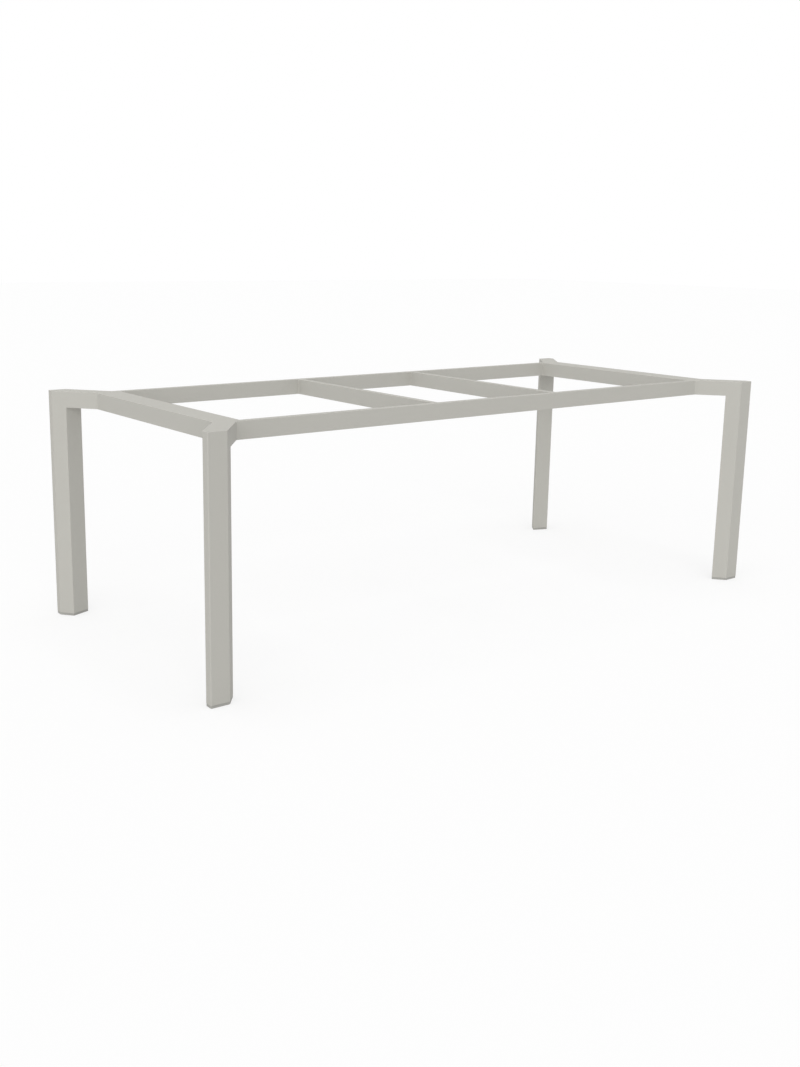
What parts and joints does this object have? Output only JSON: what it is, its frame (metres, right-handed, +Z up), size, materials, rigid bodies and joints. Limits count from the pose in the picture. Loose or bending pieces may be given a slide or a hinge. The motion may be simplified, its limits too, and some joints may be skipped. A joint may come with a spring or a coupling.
{
  "type": "table frame",
  "caption": "Rectangular tube frame for a long dining table, with slim crossbars and five-sided legs that stand outside its corners on short oblique arms.",
  "frame": {"origin": "on the floor, below the middle of the frame", "axes": "+X along the table, +Y across it to the back, +Z up"},
  "size_m": [2.192, 0.992, 0.72],
  "materials": {
    "coated_metal": "warm light grey powder coat, fine texture, satin to matt",
    "glide_plastic": "moulded grey plastic, matt"
  },
  "bodies": {
    "root": {"long_rail_front": "coated_metal", "long_rail_back": "coated_metal", "end_rail_left": "coated_metal", "crossbar_left": "coated_metal", "end_rail_right": "coated_metal", "crossbar_right": "coated_metal", "arm_front_left": "coated_metal", "leg_front_left": "coated_metal", "leg_cap_front_left": "coated_metal", "glide_front_left": "glide_plastic", "arm_front_right": "coated_metal", "leg_front_right": "coated_metal", "leg_cap_front_right": "coated_metal", "glide_front_right": "glide_plastic", "arm_back_left": "coated_metal", "leg_back_left": "coated_metal", "leg_cap_back_left": "coated_metal", "glide_back_left": "glide_plastic", "arm_back_right": "coated_metal", "leg_back_right": "coated_metal", "leg_cap_back_right": "coated_metal", "glide_back_right": "glide_plastic"}
  },
  "joints": []
}
